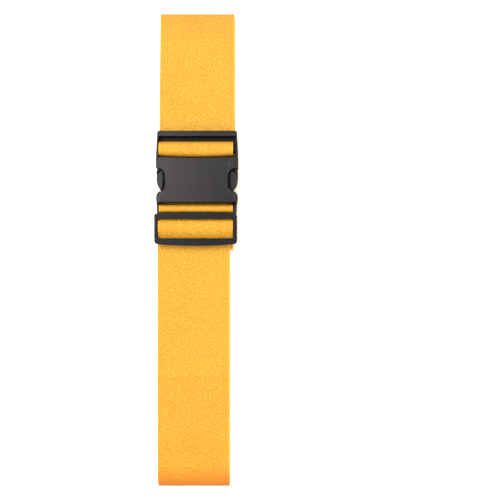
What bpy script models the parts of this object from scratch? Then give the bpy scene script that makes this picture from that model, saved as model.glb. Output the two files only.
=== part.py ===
"""A luggage strap: 50 mm webbing, a side-release buckle and a tri-glide.

The strap is buckled into a loop and folded flat. It lies with its width along X,
its length along Y and its face up, on the plane z = 0. Units are metres.
"""

import math

import bmesh
import bpy

MM = 0.001
GAP = 0.3 * MM  # clearance between surfaces that touch

# webbing
WEB_THICK = 1.2 * MM
PITCH = WEB_THICK + GAP  # from one layer of webbing to the next
LAYER_Z = [WEB_THICK / 2 + PITCH * n for n in range(7)]  # middle of each layer
UNDER_PLY_Z = LAYER_Z[5]  # the plies that return under the face
FACE_Z = LAYER_Z[6]  # the ply that faces up
TOP = (51.2 * MM, 0.4 * MM)  # width and middle above the buckle
ROLL = (50.2 * MM, -0.1 * MM)  # around the tongue's bar
SLOT = (50.0 * MM, -0.15 * MM)  # around the shell's end bar
HUMP = (50.8 * MM, -0.45 * MM)  # spread flat over the tri-glide's bar
LOW = (49.1 * MM, -2.05 * MM)  # below the tri-glide
WAIST = (49.3 * MM, 0.45 * MM)  # the hidden layers under the buckle
TAIL = (48.8 * MM, 0.6 * MM)
FOLD_TOP_Y = 159.6 * MM  # where the top folds start to turn
NOSE_Y, NOSE_END_Y = -145.8 * MM, -161.2 * MM  # the large fold at the low end
NOSE_Z, NOSE_TIP_Z = 8.4 * MM, 4.3 * MM
NOSE_BREAK = 4.4 * MM  # how far past NOSE_Y the large fold starts to slope down
STACK_TURN_Y = [FOLD_TOP_Y + 0.1 * MM, NOSE_Y + 2.0 * MM, FOLD_TOP_Y - 0.5 * MM, NOSE_Y + 2.8 * MM]
SPLIT_Y = 150.0 * MM  # where the moving run meets the folded layers
TONGUE_PLY_END_Y = 125.0 * MM  # the heat-cut end behind the tongue bar
TAIL_END_Y = 0.74 * MM  # the heat-cut end behind the tri-glide
TAIL_TOP_Y = 24.2 * MM  # where the tail ply meets the end loop
FACE_RUN_Y, FACE_DRIFT_END_Y = 21.7 * MM, 0.0
SETTLE_Y = -121.0 * MM  # where the face ply starts to ease down to the low fold
LOW_SKEW_Y = (-5.0 * MM, 36.0 * MM)  # where the hidden layers drift sideways
TOP_SKEW_Y = (50.0 * MM, 76.0 * MM)
ROLL_DRIFT_Y = (76.0 * MM, 100.0 * MM)  # where the tongue's plies drift sideways

# side-release buckle
BUCKLE_X = 0.6 * MM
SHELL_HALF, SHELL_LOW_HALF = 27.4 * MM, 27.1 * MM  # above and below the windows
SHELL_STEP_Y, SHELL_CORNER = 44.0 * MM, 1.6 * MM  # inside the windows; low corners
SHELL_LOW_Y, SHELL_MOUTH_Y, MOUTH_BOW = 32.65 * MM, 63.8 * MM, 1.3 * MM
SHELL_Z = (LAYER_Z[4] + WEB_THICK / 2 + GAP, 20.0 * MM)
CAVITY_HALF, CAVITY_Z = 24.9 * MM, (9.1 * MM, 18.4 * MM)
CAVITY_END_Y = 36.0 * MM
WINDOW_LEDGE = 2.6 * MM  # how much shallower the bite is in the shell's floor
THROAT_HALF = 26.5 * MM  # half width where the cavity flares at the mouth
BAR_ROOT = 0.6 * MM  # how far each round bar runs into the rails that hold it
END_BAR_Y, END_BAR_Z = (27.5 * MM, 30.1 * MM), (10.5 * MM, 14.4 * MM)
SLOT_X = (-25.45 * MM, 25.25 * MM)
RAIL_HALF = (27.0 * MM, 26.6 * MM)  # at the shell and at the rails' free ends
RAIL_X = 0.25 * MM  # the rails' middle in X
RAIL_LOW_Y, RAIL_Z = 25.4 * MM, (9.2 * MM, 14.8 * MM)
TONGUE_Z = (10.6 * MM, 16.9 * MM)
TONGUE_TOP_Y, TONGUE_BASE_Y = 81.0 * MM, 61.3 * MM
TONGUE_STEP_Z = 14.2 * MM  # top of the base, where it enters the shell
BAY_X, BAY_Y = (-25.55 * MM, 25.4 * MM), (63.75 * MM, 77.4 * MM)
TONGUE_BAR_Y, TONGUE_BAR_Z = (65.6 * MM, 72.6 * MM), (10.5 * MM, 15.6 * MM)
LIP_Y, LIP_Z = (74.5 * MM, 78.0 * MM), (TONGUE_Z[0], 12.0 * MM)
GUIDE_HALF, GUIDE_END_Y, GUIDE_Z = 11.0 * MM, 42.0 * MM, (11.2 * MM, 13.9 * MM)
GUIDE_TAPER_X, GUIDE_TAPER_Y = 2.5 * MM, 3.0 * MM
ARM_PIVOT = (19.6 * MM, 59.4 * MM)  # half width and Y of each flexing root
ARM_ROOT_R = 1.6 * MM
ARM_TIP, ARM_TIP_R = (22.3 * MM, 39.2 * MM), 0.9 * MM
ARM_Z = (10.8 * MM, 16.8 * MM)

# tri-glide
GLIDE_X = -0.4 * MM
GLIDE_HALF, GLIDE_CORNER = 27.7 * MM, 2.5 * MM
GLIDE_Y = (4.6 * MM, 25.0 * MM)
GLIDE_BOW = 1.1 * MM
GLIDE_Z = (10.5 * MM, 16.4 * MM)
GLIDE_WINDOW_X, GLIDE_WINDOW_Y = (-26.2 * MM, 25.3 * MM), (8.7 * MM, 21.9 * MM)
GLIDE_BAR_Y, GLIDE_BAR_TOP = (12.1 * MM, 18.1 * MM), 14.4 * MM
GLIDE_ARCH_Z = 13.7 * MM  # underside of the outer bars

YELLOW = (0.93, 0.53, 0.06)
ORANGE = (0.90, 0.45, 0.04)
CHARCOAL = (0.07, 0.065, 0.062)
BLACK = (0.035, 0.035, 0.037)


def clear_scene():
    for thing in list(bpy.data.objects):
        bpy.data.objects.remove(thing, do_unlink=True)


def collection(name):
    made = bpy.data.collections.new(name)
    bpy.context.scene.collection.children.link(made)
    return made


def material(name, colour, roughness):
    made = bpy.data.materials.new(name)
    made.use_nodes = True
    shader = made.node_tree.nodes["Principled BSDF"]
    shader.inputs["Base Color"].default_value = (*colour, 1.0)
    shader.inputs["Roughness"].default_value = roughness
    shader.inputs["Metallic"].default_value = 0.0
    return made


def add_mesh(name, mesh, group, look=None):
    thing = bpy.data.objects.new(name, mesh)
    group.objects.link(thing)
    if look:
        mesh.materials.clear()
        mesh.materials.append(look)
    return thing


def arc(centre, radius, start, end, steps=6):
    """Points of an arc in a plane, with its angles in degrees."""
    angles = [math.radians(start + (end - start) * n / steps) for n in range(steps + 1)]
    return [
        (centre[0] + radius * math.cos(a), centre[1] + radius * math.sin(a))
        for a in angles
    ]


def bow(half, y, rise, steps=8):
    """A shallow bowed edge from +half to -half, rise higher at the middle."""
    xs = [half * (1 - 2 * n / steps) for n in range(steps + 1)]
    return [(x, y + rise * (1 - (x / half) ** 2)) for x in xs]


def mirrored(half_outline):
    """A closed outline from its +X half, listed from top to bottom."""
    return half_outline + [(-x, y) for x, y in reversed(half_outline)]


def plate(name, outline, z_range, group, look=None, x=0.0, bevel=0.0):
    """A flat outline in X and Y, given a thickness, with rounded edges."""
    curve = bpy.data.curves.new(name, "CURVE")
    curve.dimensions = "2D"
    curve.fill_mode = "BOTH"
    curve.extrude = (z_range[1] - z_range[0]) / 2
    spline = curve.splines.new("POLY")
    spline.points.add(len(outline) - 1)
    for point, (px, py) in zip(spline.points, outline):
        point.co = (px, py, 0.0, 1.0)
    spline.use_cyclic_u = True
    drawn = bpy.data.objects.new(name, curve)
    group.objects.link(drawn)
    bpy.context.view_layer.update()
    graph = bpy.context.evaluated_depsgraph_get()
    mesh = bpy.data.meshes.new_from_object(drawn.evaluated_get(graph))
    bpy.data.objects.remove(drawn, do_unlink=True)
    work = bmesh.new()
    work.from_mesh(mesh)
    bmesh.ops.remove_doubles(work, verts=work.verts, dist=0.00001)
    bmesh.ops.dissolve_limit(
        work, angle_limit=math.radians(1.0), verts=work.verts, edges=work.edges
    )
    bmesh.ops.recalc_face_normals(work, faces=work.faces)
    bmesh.ops.translate(work, verts=work.verts, vec=(x, 0.0, sum(z_range) / 2))
    work.to_mesh(mesh)
    work.free()
    thing = add_mesh(name, mesh, group, look)
    if bevel:
        soften(thing, bevel)
    return thing


def soften(thing, width):
    rounding = thing.modifiers.new("rounded edges", "BEVEL")
    rounding.width = width
    rounding.segments = 2
    rounding.limit_method = "ANGLE"
    rounding.angle_limit = math.radians(40.0)


def block(name, x_range, y_range, z_range, group, bevel=0.0, segments=2):
    """A box between two corners, its edges rounded where bevel is given."""
    mesh = bpy.data.meshes.new(name)
    work = bmesh.new()
    bmesh.ops.create_cube(work, size=1.0)
    size = [b - a for a, b in (x_range, y_range, z_range)]
    middle = [(a + b) / 2 for a, b in (x_range, y_range, z_range)]
    bmesh.ops.scale(work, verts=work.verts, vec=size)
    bmesh.ops.translate(work, verts=work.verts, vec=middle)
    work.to_mesh(mesh)
    work.free()
    thing = add_mesh(name, mesh, group)
    if bevel:
        soften(thing, bevel)
        thing.modifiers["rounded edges"].segments = segments
    return thing


def combine(thing, tool, operation):
    """Join a tool to an object, or cut the tool's shape out of it."""
    tool.hide_render = True
    tool.display_type = "WIRE"
    change = thing.modifiers.new(tool.name, "BOOLEAN")
    change.operation = operation
    change.solver = "EXACT"
    change.object = tool


def ease(value):
    value = min(max(value, 0.0), 1.0)
    return value * value * (3.0 - 2.0 * value)


def drift(first, last, first_y, last_y):
    """Width and middle that ease from one pair to another between two places in Y."""
    def spread(y):
        share = ease((y - first_y) / (last_y - first_y))
        return tuple(a + (b - a) * share for a, b in zip(first, last))
    return spread


def level(first_y, last_y, z, steps):
    """Evenly spaced points of a level stretch, so that it can drift sideways."""
    return [(first_y + (last_y - first_y) * n / steps, z) for n in range(steps + 1)]


def rounded_route(corners, steps=5):
    """A route in Y and Z through corners (y, z, radius), each corner an arc."""
    route = [corners[0][:2]]
    for before, here, after in zip(corners, corners[1:], corners[2:]):
        ins = (before[0] - here[0], before[1] - here[1])
        out = (after[0] - here[0], after[1] - here[1])
        reach_in, reach_out = math.hypot(*ins), math.hypot(*out)
        u = (ins[0] / reach_in, ins[1] / reach_in)
        v = (out[0] / reach_out, out[1] / reach_out)
        angle = math.acos(max(-1.0, min(1.0, u[0] * v[0] + u[1] * v[1])))
        back = here[2] / math.tan(angle / 2)
        along = (u[0] + v[0], u[1] + v[1])
        scale = here[2] / math.sin(angle / 2) / math.hypot(*along)
        centre = (here[0] + along[0] * scale, here[1] + along[1] * scale)
        first = math.atan2(here[1] + u[1] * back - centre[1], here[0] + u[0] * back - centre[0])
        last = math.atan2(here[1] + v[1] * back - centre[1], here[0] + v[0] * back - centre[0])
        turn = (last - first + math.pi) % (2 * math.pi) - math.pi
        for n in range(steps + 1):
            a = first + turn * n / steps
            route.append((centre[0] + here[2] * math.cos(a), centre[1] + here[2] * math.sin(a)))
    return route + [corners[-1][:2]]


def half_turn(y, z, radius, side, steps=6):
    """A fold: half a circle from height z - radius to z + radius, towards side."""
    angles = [math.radians(-90.0 + 180.0 * n / steps) for n in range(steps + 1)]
    return [(y + side * radius * math.cos(a), z + radius * math.sin(a)) for a in angles]


def ribbon(name, route, spread, group, look):
    """Webbing along a route in Y and Z; spread(y) gives its width and its middle."""
    mesh = bpy.data.meshes.new(name)
    work = bmesh.new()
    edges = []
    for side in (-0.5, 0.5):
        row = []
        for y, z in route:
            width, middle = spread(y)
            row.append(work.verts.new((middle + side * width, y, z)))
        edges += [work.edges.new(pair) for pair in zip(row, row[1:])]
    bmesh.ops.bridge_loops(work, edges=edges)
    work.to_mesh(mesh)
    work.free()
    thing = add_mesh(name, mesh, group, look)
    thick = thing.modifiers.new("thickness", "SOLIDIFY")
    thick.thickness = WEB_THICK
    thick.offset = 0.0
    thick.use_even_offset = True


def stack_spread(y):
    """Width and middle of the hidden layers, which lie askew under the buckle."""
    if y < LOW_SKEW_Y[1]:
        return drift(LOW, WAIST, *LOW_SKEW_Y)(y)
    return drift(WAIST, TOP, *TOP_SKEW_Y)(y)


def folded_layers(group, look):
    """Five hidden layers, back and forth between the two ends."""
    route = [(NOSE_Y + GAP, LAYER_Z[0])]
    for number, z in enumerate(LAYER_Z[:5]):
        up = number % 2 == 0
        layer = level(*LOW_SKEW_Y, z, 5) + level(*TOP_SKEW_Y, z, 4)
        route += layer if up else layer[::-1]
        if number < len(STACK_TURN_Y):
            side = 1 if up else -1
            route += half_turn(STACK_TURN_Y[number], z + PITCH / 2, PITCH / 2, side, steps=4)
    route.append((SPLIT_Y - GAP / 2, LAYER_Z[4]))
    ribbon("webbing_folded_layers", route, stack_spread, group, look)


def low_fold(group, look):
    """The large fold that wraps the low end of the stack, sloping down to its tip."""
    corners = [
        (NOSE_Y, NOSE_Z),
        (NOSE_Y - NOSE_BREAK, NOSE_Z, 14.0 * MM),
        (NOSE_END_Y, NOSE_TIP_Z, 1.9 * MM),
        (NOSE_END_Y, LAYER_Z[0], 1.6 * MM),
        (NOSE_Y, LAYER_Z[0]),
    ]
    ribbon("webbing_low_fold", rounded_route(corners), lambda y: LOW, group, look)


def face_run(group, look):
    """The straight ply that the tri-glide slides on, from it to the low fold."""
    steps = 6
    route = level(FACE_RUN_Y, FACE_DRIFT_END_Y, FACE_Z, 5)
    for n in range(steps + 1):
        share = n / steps
        y = SETTLE_Y + (NOSE_Y + GAP - SETTLE_Y) * share
        route.append((y, FACE_Z + (NOSE_Z - FACE_Z) * ease(share)))
    ribbon("webbing_face_run", route, drift(SLOT, LOW, FACE_RUN_Y, FACE_DRIFT_END_Y), group, look)


def end_loop(group, look):
    """The turn around the shell's end bar, from the tail ply to the face ply."""
    clear = GAP + WEB_THICK / 2
    low, high = END_BAR_Y[0] - clear, END_BAR_Y[1] + clear
    top = END_BAR_Z[1] + clear
    corners = [
        (TAIL_TOP_Y + GAP + 0.1 * MM, UNDER_PLY_Z),
        (high, 8.7 * MM, 1.6 * MM),
        (high, top, 2.1 * MM),
        (low, top, 2.1 * MM),
        (low, FACE_Z, 1.0 * MM),
        (FACE_RUN_Y + GAP, FACE_Z),
    ]
    ribbon("webbing_end_loop", rounded_route(corners), lambda y: SLOT, group, look)


def tongue_run(group, look):
    """The run from the top fold to the tongue's bar, around it and back."""
    clear = GAP + WEB_THICK / 2
    low, high = TONGUE_BAR_Y[0] - clear, TONGUE_BAR_Y[1] + clear
    top = TONGUE_BAR_Z[1] + clear
    radius = (FACE_Z - LAYER_Z[4]) / 2
    corners = [
        (ROLL_DRIFT_Y[0], FACE_Z),
        (high, FACE_Z, 1.0 * MM),
        (high, top, 3.2 * MM),
        (low, top, 3.2 * MM),
        (low, UNDER_PLY_Z, 1.4 * MM),
        (ROLL_DRIFT_Y[0], UNDER_PLY_Z),
    ]
    route = [(SPLIT_Y + GAP / 2, LAYER_Z[4])]
    route += half_turn(FOLD_TOP_Y, (FACE_Z + LAYER_Z[4]) / 2, radius, 1)
    route += level(*ROLL_DRIFT_Y[::-1], FACE_Z, 5)
    route += rounded_route(corners)[1:-1]
    route += level(*ROLL_DRIFT_Y, UNDER_PLY_Z, 5)
    route.append((TONGUE_PLY_END_Y, UNDER_PLY_Z))
    ribbon("webbing_tongue_run", route, drift(ROLL, TOP, *ROLL_DRIFT_Y), group, look)


def glide_turn(group, look):
    """The webbing over the tri-glide's middle bar."""
    hump_z = GLIDE_BAR_TOP + GAP + WEB_THICK / 2
    foot_z = FACE_Z + PITCH
    middle = (GLIDE_BAR_Y[0] + GLIDE_BAR_Y[1]) / 2
    half = [(8.9 * MM, foot_z), (7.4 * MM, foot_z, 1.0 * MM), (4.3 * MM, hump_z, 2.0 * MM)]
    corners = [(middle - near, *rest) for near, *rest in half]
    corners += [(middle + near, *rest) for near, *rest in reversed(half)]
    ribbon("webbing_glide_turn", rounded_route(corners), lambda y: HUMP, group, look)


def tail(group, look):
    """The heat-cut end that comes out behind the tri-glide."""
    route = level(TAIL_TOP_Y, TAIL_END_Y, UNDER_PLY_Z, 5)
    ribbon("webbing_tail", route, drift(SLOT, TAIL, TAIL_TOP_Y, TAIL_END_Y), group, look)


def window_outline():
    """The bite that opens each side of the shell."""
    outer = SHELL_HALF + 2.0 * MM
    upper = arc((26.6 * MM, 50.1 * MM), 5.7 * MM, 90.0, 180.0)
    lower = arc((24.4 * MM, 43.6 * MM), 3.5 * MM, 180.0, 270.0)
    flare = [(26.1 * MM, 38.5 * MM), (27.1 * MM, 37.0 * MM), (outer, 36.6 * MM)]
    return [(outer, 55.8 * MM)] + upper + lower + flare


def shell(group, cutters, look):
    """The socket half: a hollow shell with side windows, a slot and an end bar."""
    mouth = bow(SHELL_HALF, SHELL_MOUTH_Y, -MOUTH_BOW)
    corner = SHELL_CORNER
    low_side = [(SHELL_HALF, SHELL_STEP_Y + MM), (SHELL_LOW_HALF, SHELL_STEP_Y)]
    low_side += arc((SHELL_LOW_HALF - corner, SHELL_LOW_Y + corner), corner, 0.0, -90.0, 4)
    outline = mouth[::-1] + low_side + [(-x, y) for x, y in reversed(low_side)]
    body = plate("female_shell", outline, SHELL_Z, group, look, BUCKLE_X, 1.2 * MM)
    half = [(RAIL_HALF[0], SHELL_LOW_Y + SHELL_CORNER), (RAIL_HALF[0], SHELL_LOW_Y),
            (RAIL_HALF[1], RAIL_LOW_Y)]
    frame = plate("end_frame", mirrored(half), RAIL_Z, cutters, None, RAIL_X, 0.4 * MM)
    combine(body, frame, "UNION")
    tall = (SHELL_Z[0] - MM, SHELL_Z[1] + MM)
    opening = (RAIL_LOW_Y - MM, SHELL_LOW_Y)
    slot = block("slot_tool", SLOT_X, opening, tall, cutters)
    combine(body, slot, "DIFFERENCE")
    across = (SLOT_X[0] - BAR_ROOT, SLOT_X[1] + BAR_ROOT)
    bar = block("end_bar", across, END_BAR_Y, END_BAR_Z, cutters, 1.0 * MM, 3)
    combine(body, bar, "UNION")
    throat = [(THROAT_HALF, 70.0 * MM), (THROAT_HALF, 64.0 * MM), (CAVITY_HALF, 62.0 * MM),
              (CAVITY_HALF, CAVITY_END_Y)]
    cavity = plate("cavity_tool", mirrored(throat), CAVITY_Z, cutters, None, BUCKLE_X)
    combine(body, cavity, "DIFFERENCE")
    floor_z = (tall[0], CAVITY_Z[0] + GAP)
    for side, word in ((1, "right"), (-1, "left")):
        outline = [(side * x, y) for x, y in window_outline()]
        shallow = [(side * (x + WINDOW_LEDGE), y) for x, y in window_outline()]
        window = plate(f"{word}_window_tool", outline, (CAVITY_Z[0], tall[1]), cutters, None, BUCKLE_X)
        combine(body, window, "DIFFERENCE")
        notch = plate(f"{word}_notch_tool", shallow, floor_z, cutters, None, BUCKLE_X)
        combine(body, notch, "DIFFERENCE")


def tongue(group, cutters, look):
    """The plug half: its web bay and bars, its base and its middle guide."""
    half = [(25.9 * MM, TONGUE_TOP_Y), (26.7 * MM, TONGUE_TOP_Y - 0.8 * MM),
            (27.45 * MM, 64.6 * MM), (26.2 * MM, 64.25 * MM), (24.6 * MM, 62.2 * MM),
            (24.5 * MM, TONGUE_BASE_Y)]
    body = plate("male_frame", mirrored(half), TONGUE_Z, group, look, BUCKLE_X, 0.7 * MM)
    tall = (TONGUE_Z[0] - MM, TONGUE_Z[1] + MM)
    bay = block("bay_tool", BAY_X, BAY_Y, tall, cutters)
    combine(body, bay, "DIFFERENCE")
    step = block("step_tool", BAY_X, (TONGUE_BASE_Y - MM, BAY_Y[0] + MM),
                 (TONGUE_STEP_Z, TONGUE_Z[1] + MM), cutters)
    combine(body, step, "DIFFERENCE")
    across = (BAY_X[0] - BAR_ROOT, BAY_X[1] + BAR_ROOT)
    bar = block("tongue_bar", across, TONGUE_BAR_Y, TONGUE_BAR_Z, cutters, 2.2 * MM, 3)
    combine(body, bar, "UNION")
    lip = block("lip", across, LIP_Y, LIP_Z, cutters)
    combine(body, lip, "UNION")
    half = [(GUIDE_HALF, TONGUE_BASE_Y + MM), (GUIDE_HALF, GUIDE_END_Y + GUIDE_TAPER_Y),
            (GUIDE_HALF - GUIDE_TAPER_X, GUIDE_END_Y)]
    guide = plate("guide", mirrored(half), GUIDE_Z, cutters, None, BUCKLE_X)
    combine(body, guide, "UNION")


def arm_outline():
    """One latch arm: a round root, a slim neck, then the bulged catch and its tip."""
    x, y = ARM_PIVOT
    root = arc((x, y), ARM_ROOT_R, 0.0, 180.0, 8)
    neck_inner = [(x - ARM_ROOT_R, 56.0 * MM), (20.4 * MM, 51.0 * MM), (22.0 * MM, 46.0 * MM)]
    tip = [(ARM_TIP[0] - ARM_TIP_R, ARM_TIP[1] + MM)] + arc(ARM_TIP, ARM_TIP_R, 180.0, 330.0, 5)
    catch = [(24.5 * MM, 40.6 * MM), (26.1 * MM, 43.3 * MM), (27.0 * MM, 46.2 * MM),
             (27.2 * MM, 48.6 * MM), (27.2 * MM, 51.6 * MM), (27.1 * MM, 54.4 * MM)]
    shoulder = [(26.4 * MM, 55.3 * MM), (24.5 * MM, 55.5 * MM), (22.6 * MM, 56.6 * MM)]
    return root + neck_inner + tip + catch + shoulder


def arms(group, look):
    for side, word in ((1, "right"), (-1, "left")):
        outline = [(side * x, y) for x, y in arm_outline()]
        arm = plate(f"{word}_latch_arm", outline, ARM_Z, group, look, BUCKLE_X, 0.5 * MM)
        pivot = (BUCKLE_X + side * ARM_PIVOT[0], ARM_PIVOT[1], 0.0)
        for vert in arm.data.vertices:
            vert.co.x -= pivot[0]
            vert.co.y -= pivot[1]
        arm.location = pivot


def tri_glide(group, cutters, look):
    """The adjuster: two outer bars and two rails, with a lower bar between them."""
    corner = GLIDE_CORNER
    low, high = GLIDE_Y
    upper = arc((GLIDE_HALF - corner, high - corner), corner, 90.0, 0.0, 5)
    lower = arc((GLIDE_HALF - corner, low + corner), corner, 0.0, -90.0, 5)
    flat = GLIDE_HALF - corner
    top_edge = bow(-flat, high, GLIDE_BOW)[1:-1]
    low_edge = bow(flat, low, -GLIDE_BOW)[1:-1]
    outline = upper + lower + low_edge
    outline += [(-x, y) for x, y in reversed(lower)] + [(-x, y) for x, y in reversed(upper)]
    outline += top_edge
    body = plate("tri_glide", outline, GLIDE_Z, group, look, GLIDE_X, 0.9 * MM)
    inner = GLIDE_WINDOW_X
    window = block("glide_window_tool", inner, GLIDE_WINDOW_Y,
                   (GLIDE_Z[0] - MM, GLIDE_Z[1] + MM), cutters)
    combine(body, window, "DIFFERENCE")
    arch = block("glide_arch_tool", inner, (low - 3.0 * MM, high + 3.0 * MM),
                 (GLIDE_Z[0] - MM, GLIDE_ARCH_Z), cutters)
    combine(body, arch, "DIFFERENCE")
    across = (inner[0] - BAR_ROOT, inner[1] + BAR_ROOT)
    bar_z = (GLIDE_Z[0] + 0.1 * MM, GLIDE_BAR_TOP)
    bar = block("glide_bar", across, GLIDE_BAR_Y, bar_z, cutters, 0.8 * MM)
    combine(body, bar, "UNION")


def main():
    clear_scene()
    group = collection("luggage_strap")
    cutters = collection("cutters")
    web = material("woven_webbing", YELLOW, 0.75)
    inside_web = material("hidden_webbing", ORANGE, 0.8)
    moulded = material("moulded_charcoal", CHARCOAL, 0.45)
    dark = material("moulded_black", BLACK, 0.5)
    folded_layers(group, inside_web)
    low_fold(group, web)
    face_run(group, web)
    end_loop(group, web)
    tongue_run(group, web)
    glide_turn(group, web)
    tail(group, web)
    shell(group, cutters, moulded)
    tongue(group, cutters, moulded)
    arms(group, moulded)
    tri_glide(group, cutters, dark)


main()
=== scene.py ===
"""The looks of the luggage strap: woven webbing, moulded buckle and tri-glide.

Everything is in metres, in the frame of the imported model. The webbing runs in the
plane of Y and Z, and its width lies along X.
"""

import math

import bmesh
import bpy
import numpy as np
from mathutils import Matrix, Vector


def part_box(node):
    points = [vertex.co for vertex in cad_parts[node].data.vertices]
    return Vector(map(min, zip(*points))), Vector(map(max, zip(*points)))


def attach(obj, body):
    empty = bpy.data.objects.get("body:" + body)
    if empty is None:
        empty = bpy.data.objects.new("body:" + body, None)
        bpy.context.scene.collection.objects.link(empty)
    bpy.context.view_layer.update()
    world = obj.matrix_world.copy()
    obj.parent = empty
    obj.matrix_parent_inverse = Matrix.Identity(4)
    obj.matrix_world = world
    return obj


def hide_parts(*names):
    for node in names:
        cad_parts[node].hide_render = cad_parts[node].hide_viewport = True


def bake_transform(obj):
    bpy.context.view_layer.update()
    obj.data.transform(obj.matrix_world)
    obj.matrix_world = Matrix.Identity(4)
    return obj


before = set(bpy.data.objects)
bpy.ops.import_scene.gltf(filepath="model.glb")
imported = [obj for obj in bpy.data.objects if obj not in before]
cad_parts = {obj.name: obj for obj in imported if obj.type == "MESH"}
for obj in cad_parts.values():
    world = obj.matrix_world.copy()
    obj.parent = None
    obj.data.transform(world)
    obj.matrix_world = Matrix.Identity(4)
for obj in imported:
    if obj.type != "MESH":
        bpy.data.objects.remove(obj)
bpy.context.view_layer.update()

MM = 0.001
GAP = 0.3 * MM

# the webbing's levels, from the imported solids
TAIL_LOW, TAIL_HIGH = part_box("webbing_tail")
STACK_LOW, STACK_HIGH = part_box("webbing_folded_layers")
FACE_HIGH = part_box("webbing_face_run")[1]
FOLD_LOW, FOLD_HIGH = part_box("webbing_low_fold")
TONGUE_LOW, TONGUE_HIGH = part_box("webbing_tongue_run")
LOOP_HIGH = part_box("webbing_end_loop")[1]
TURN_LOW, TURN_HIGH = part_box("webbing_glide_turn")
THICK = TAIL_HIGH.z - TAIL_LOW.z
HALF_THICK = THICK / 2
UNDER_Z = TAIL_LOW.z + HALF_THICK
FACE_Z = FACE_HIGH.z - HALF_THICK
PITCH = (STACK_HIGH.z - STACK_LOW.z - THICK) / 4
LAYER_Z = [HALF_THICK + PITCH * n for n in range(5)]
NOSE_Y, NOSE_END_Y = FOLD_HIGH.y, FOLD_LOW.y + HALF_THICK
NOSE_Z = FOLD_HIGH.z - HALF_THICK
TOP_FOLD_R = (FACE_Z - LAYER_Z[4]) / 2
TOP_FOLD_Y = TONGUE_HIGH.y - HALF_THICK - TOP_FOLD_R
SPLIT_Y = 150.0 * MM  # where the moving run meets the folded layers
TONGUE_PLY_END_Y = 125.0 * MM  # the heat-cut end behind the tongue bar

# the webbing's width and middle in X, as it drifts from place to place
TOP = (51.2 * MM, 0.4 * MM)  # above the buckle
TIP = (50.6 * MM, 0.7 * MM)  # at the top fold
ROLL = (50.2 * MM, -0.1 * MM)  # around the tongue's bar
SLOT = (50.0 * MM, -0.15 * MM)  # around the shell's end bar
HUMP = (TURN_HIGH.x - TURN_LOW.x, (TURN_HIGH.x + TURN_LOW.x) / 2)  # over the tri-glide's bar
LOW = (FOLD_HIGH.x - FOLD_LOW.x, (FOLD_LOW.x + FOLD_HIGH.x) / 2)  # below the buckle
TAIL = (48.8 * MM, 0.6 * MM)  # at the heat-cut end
WAIST = (49.3 * MM, 0.45 * MM)  # the hidden layers under the buckle

# where the shape of the webbing changes
ROLL_BULGE = 0.8 * MM  # how far the roll on the tongue's bar swells towards the mouth
RIDGE_Y = -84.0 * MM  # where a hidden fold ends under the face run
TURN_END_Y = STACK_HIGH.y - HALF_THICK - PITCH / 2  # the middle of the hidden top turns
STRETCH_END_Y = NOSE_Y + 40.0 * MM  # where the layer that can move begins

# the hardware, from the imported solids
SHELL_LOW, SHELL_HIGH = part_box("female_shell")
MALE_LOW, MALE_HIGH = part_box("male_frame")
GLIDE_LOW, GLIDE_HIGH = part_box("tri_glide")
BUCKLE_X = (MALE_LOW.x + MALE_HIGH.x) / 2
GLIDE_X = (GLIDE_LOW.x + GLIDE_HIGH.x) / 2
BAR_ROOT = 0.6 * MM  # how far each round bar runs into the rails that hold it

# the weave
COLUMNS = 46  # warp columns between the selvedges
CELL = 2.95 * MM  # one repeat of the weave along the webbing
SELVEDGE = 1.0 * MM
WEAVE_DEPTH = 0.28 * MM
EDGE_ROUND = 0.45 * MM
EDGE_STEPS = [0.0, 0.04 * MM, 0.16 * MM, 0.34 * MM, 0.55 * MM, 0.78 * MM]  # in from each edge

# ---------------------------------------------------------------- node materials
def new_material(name):
    made = bpy.data.materials.new(name)
    made.use_nodes = True
    tree = made.node_tree
    return made, tree, tree.nodes["Principled BSDF"]


def math_node(tree, operation, first, second=None, third=None, clamp=False):
    """A Math node; each input is a socket or a number."""
    node = tree.nodes.new("ShaderNodeMath")
    node.operation = operation
    node.use_clamp = clamp
    for socket, value in zip(node.inputs, (first, second, third)):
        if value is None:
            continue
        if isinstance(value, (int, float)):
            socket.default_value = value
        else:
            tree.links.new(value, socket)
    return node.outputs[0]


def noise_node(tree, vector, scale, detail, roughness=0.55, stretch=None):
    if stretch:
        mapping = tree.nodes.new("ShaderNodeMapping")
        mapping.inputs["Scale"].default_value = stretch
        tree.links.new(vector, mapping.inputs["Vector"])
        vector = mapping.outputs["Vector"]
    node = tree.nodes.new("ShaderNodeTexNoise")
    node.inputs["Scale"].default_value = scale
    node.inputs["Detail"].default_value = detail
    node.inputs["Roughness"].default_value = roughness
    tree.links.new(vector, node.inputs["Vector"])
    return node.outputs["Fac"]


def mix_colour(tree, factor, first, second):
    node = tree.nodes.new("ShaderNodeMix")
    node.data_type = "RGBA"
    for index, value in ((0, factor), (6, first), (7, second)):
        socket = node.inputs[index]
        if isinstance(value, tuple):
            socket.default_value = (*value, 1.0)
        elif isinstance(value, (int, float)):
            socket.default_value = value
        else:
            tree.links.new(value, socket)
    return node.outputs[2]


def bump_node(tree, height, strength, distance):
    node = tree.nodes.new("ShaderNodeBump")
    node.inputs["Strength"].default_value = strength
    node.inputs["Distance"].default_value = distance
    tree.links.new(height, node.inputs["Height"])
    return node.outputs["Normal"]


def map_range(tree, value, low, high, to_low=0.0, to_high=1.0):
    node = tree.nodes.new("ShaderNodeMapRange")
    node.inputs["From Min"].default_value = low
    node.inputs["From Max"].default_value = high
    node.inputs["To Min"].default_value = to_low
    node.inputs["To Max"].default_value = to_high
    tree.links.new(value, node.inputs["Value"])
    return node.outputs["Result"]


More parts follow.
